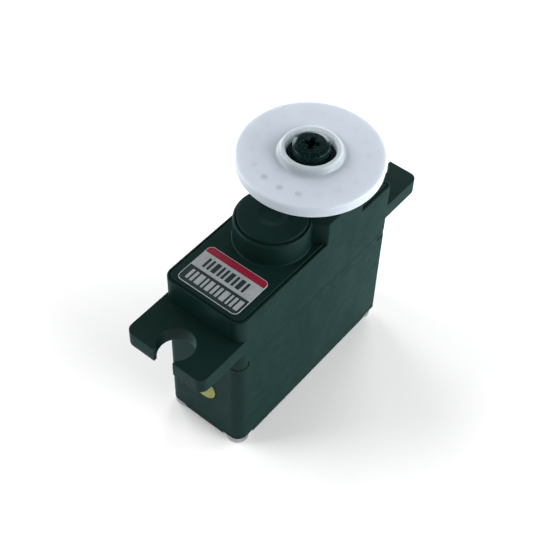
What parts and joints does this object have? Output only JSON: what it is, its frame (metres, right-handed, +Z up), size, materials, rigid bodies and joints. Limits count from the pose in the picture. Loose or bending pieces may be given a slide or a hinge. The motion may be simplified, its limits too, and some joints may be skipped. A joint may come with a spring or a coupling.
{
  "type": "servo motor",
  "caption": "Micro servo in a slim black case with two slotted ears, a metal gear train and a round white horn on its splined output shaft.",
  "frame": {"origin": "centre of the object's box, level with the undersides of the four case screw heads", "axes": "+Z up along the output shaft, towards the horn; X along the case's length, with the output shaft on the +X side; Y across its width"},
  "size_m": [0.043, 0.0182, 0.0365],
  "materials": {
    "black_plastic": "fine satin moulding",
    "white_nylon": "translucent satin",
    "black_steel": "black oxide, satin",
    "screw_steel": "bright plated",
    "gear_steel": "machined",
    "motor_steel": "drawn, plated",
    "brass": "machined",
    "copper": "enamelled wire and bare copper",
    "magnet": "sintered",
    "moulded_black": "moulded",
    "black_rubber": "matt",
    "green_board": "solder mask on glass fibre",
    "ceramic": "dipped ceramic",
    "label_print": "printed foil",
    "yellow_sticker": "paper dot"
  },
  "bodies": {
    "case": {"bottom_cover": "black_plastic", "middle_case": "black_plastic", "top_case": "black_plastic", "case_screw_1": "screw_steel", "case_screw_2": "screw_steel", "case_screw_3": "screw_steel", "case_screw_4": "screw_steel", "label": "label_print", "inspection_sticker": "yellow_sticker", "cable_grommet": "black_rubber", "output_bearing": "brass", "lower_bushing": "brass", "idler_pin": "gear_steel", "upper_pin": "gear_steel", "motor_can": "motor_steel", "motor_end_cap": "moulded_black", "motor_bushing": "brass", "magnet_1": "magnet", "magnet_2": "magnet", "brush_1": "copper", "brush_2": "copper", "pot_body": "moulded_black", "pot_terminal_1": "screw_steel", "pot_terminal_2": "screw_steel", "pot_terminal_3": "screw_steel", "circuit_board": "green_board", "controller_chip": "moulded_black", "driver_chip": "moulded_black", "capacitor": "motor_steel", "resonator": "ceramic"},
    "rotor": {"motor_shaft": "gear_steel", "motor_pinion": "brass", "armature_core": "motor_steel", "commutator": "copper", "winding_1": "copper", "winding_2": "copper", "winding_3": "copper"},
    "first_gear": {"gear_1": "brass"},
    "second_gear": {"gear_2": "brass"},
    "third_gear": {"gear_3": "gear_steel"},
    "output": {"output_shaft": "gear_steel", "disc_horn": "white_nylon", "horn_screw": "black_steel", "pot_wiper": "gear_steel"}
  },
  "joints": [
    {"name": "motor_spin", "type": "hinge", "parent": "case", "child": "rotor", "pos_m": [-0.0073, 0, 0.012], "axis": [0, 0, 1], "range_deg": [-13500, 13500]},
    {"name": "gear_1_turn", "type": "hinge", "parent": "case", "child": "first_gear", "pos_m": [-0.0017, 0, 0.019], "axis": [0, 0, 1], "range_deg": [-2701, 2701]},
    {"name": "gear_2_turn", "type": "hinge", "parent": "case", "child": "second_gear", "pos_m": [-0.0073, 0, 0.021], "axis": [0, 0, 1], "range_deg": [-676, 676]},
    {"name": "gear_3_turn", "type": "hinge", "parent": "case", "child": "third_gear", "pos_m": [-0.0017, 0, 0.023], "axis": [0, 0, 1], "range_deg": [-169, 169]},
    {"name": "output_turn", "type": "hinge", "parent": "case", "child": "output", "pos_m": [0.00525, 0, 0.03], "axis": [0, 0, 1], "range_deg": [-90, 90]}
  ],
  "couplings": [
    {"joint": "gear_1_turn", "follows": "motor_spin", "ratio": -0.2},
    {"joint": "gear_2_turn", "follows": "motor_spin", "ratio": 0.05},
    {"joint": "gear_3_turn", "follows": "motor_spin", "ratio": -0.0125},
    {"joint": "output_turn", "follows": "motor_spin", "ratio": 0.0066667}
  ]
}
